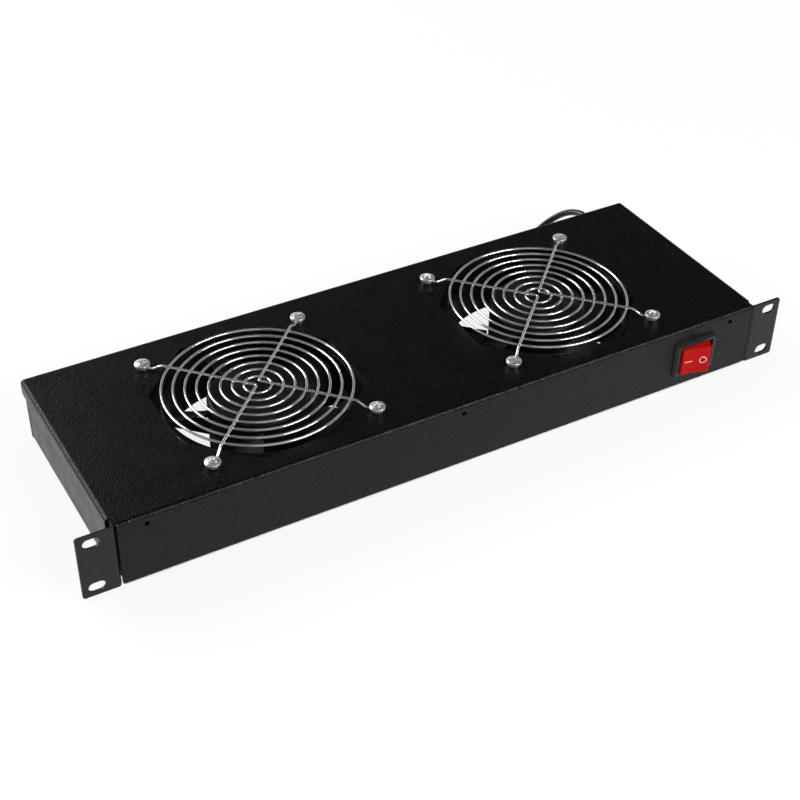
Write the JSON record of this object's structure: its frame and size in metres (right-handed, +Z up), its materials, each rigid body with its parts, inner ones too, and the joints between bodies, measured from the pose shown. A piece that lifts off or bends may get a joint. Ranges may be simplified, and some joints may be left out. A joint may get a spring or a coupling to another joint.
{
  "type": "rack fan tray",
  "caption": "Shallow black steel rack tray with slotted ears, axial mains fans under bright wire guards, a red rocker switch and a power cord.",
  "frame": {"origin": "midway between the four rack slots, on the rear face of the rack ears", "axes": "+X to the right along the front panel, +Y from the front panel towards the back, +Z up"},
  "size_m": [0.4826, 0.2047, 0.0497],
  "materials": {
    "powder_black": "fine-grained satin black powder coat",
    "guard_bright": "bright nickel-chrome plated wire",
    "zinc_bright": "bright zinc plate",
    "fan_casting": "die-cast aluminium, black lacquer",
    "fan_blade": "black moulded plastic",
    "motor_steel": "bright motor steel",
    "coil_copper": "enamelled copper winding",
    "tin_brass": "tinned brass",
    "switch_black": "satin black moulded plastic",
    "rocker_red": "red translucent plastic with pale printed signs",
    "sleeve_clear": "milky insulating sleeve",
    "lead_red": "insulated fan lead",
    "lead_brown": "insulated supply core",
    "lead_green": "green and yellow earth core",
    "clip_white": "natural nylon clip",
    "cord_black": "black flexible sheath and mouldings"
  },
  "bodies": {
    "tray": {"cord_bushing": "cord_black", "cord_hank": "cord_black", "cord_jacket": "cord_black", "cord_tail": "cord_black", "cord_tie": "cord_black", "ear_bracket_left": "powder_black", "ear_bracket_right": "powder_black", "earth_lead": "lead_green", "earth_lug": "zinc_bright", "earth_nut": "zinc_bright", "earth_stud": "zinc_bright", "fan_bearings_left": "motor_steel", "fan_bearings_right": "motor_steel", "fan_frame_left": "fan_casting", "fan_frame_right": "fan_casting", "fan_leads_left": "lead_red", "fan_leads_right": "lead_red", "fan_nuts": "zinc_bright", "fan_terminals_left": "tin_brass", "fan_terminals_right": "tin_brass", "finger_guard_left": "guard_bright", "finger_guard_right": "guard_bright", "guard_screws": "zinc_bright", "lead_clips": "clip_white", "lock_washers": "zinc_bright", "plug_pins": "tin_brass", "power_cord": "cord_black", "power_plug": "cord_black", "spade_sleeves": "sleeve_clear", "stator_coils_left": "coil_copper", "stator_coils_right": "coil_copper", "stator_core_left": "motor_steel", "stator_core_right": "motor_steel", "supply_leads": "lead_brown", "switch_body": "switch_black", "switch_terminals": "tin_brass", "tray_deck": "powder_black"},
    "impeller_left": {"impeller_left": "fan_blade", "rotor_ring_left": "motor_steel", "rotor_shaft_left": "motor_steel", "shaft_clip_left": "motor_steel"},
    "impeller_right": {"impeller_right": "fan_blade", "rotor_ring_right": "motor_steel", "rotor_shaft_right": "motor_steel", "shaft_clip_right": "motor_steel"},
    "rocker": {"switch_rocker": "rocker_red"}
  },
  "joints": [
    {"name": "left_fan_spin", "type": "hinge", "parent": "tray", "child": "impeller_left", "pos_m": [-0.1, 0.0713, 0.0206], "axis": [0, 0, 1], "continuous": true},
    {"name": "right_fan_spin", "type": "hinge", "parent": "tray", "child": "impeller_right", "pos_m": [0.1, 0.0713, 0.0206], "axis": [0, 0, 1], "continuous": true},
    {"name": "rocker_tilt", "type": "hinge", "parent": "tray", "child": "rocker", "pos_m": [0.1734, 0.0038, -0.0003], "axis": [0, 0, 1], "range_deg": [0, 29]}
  ]
}
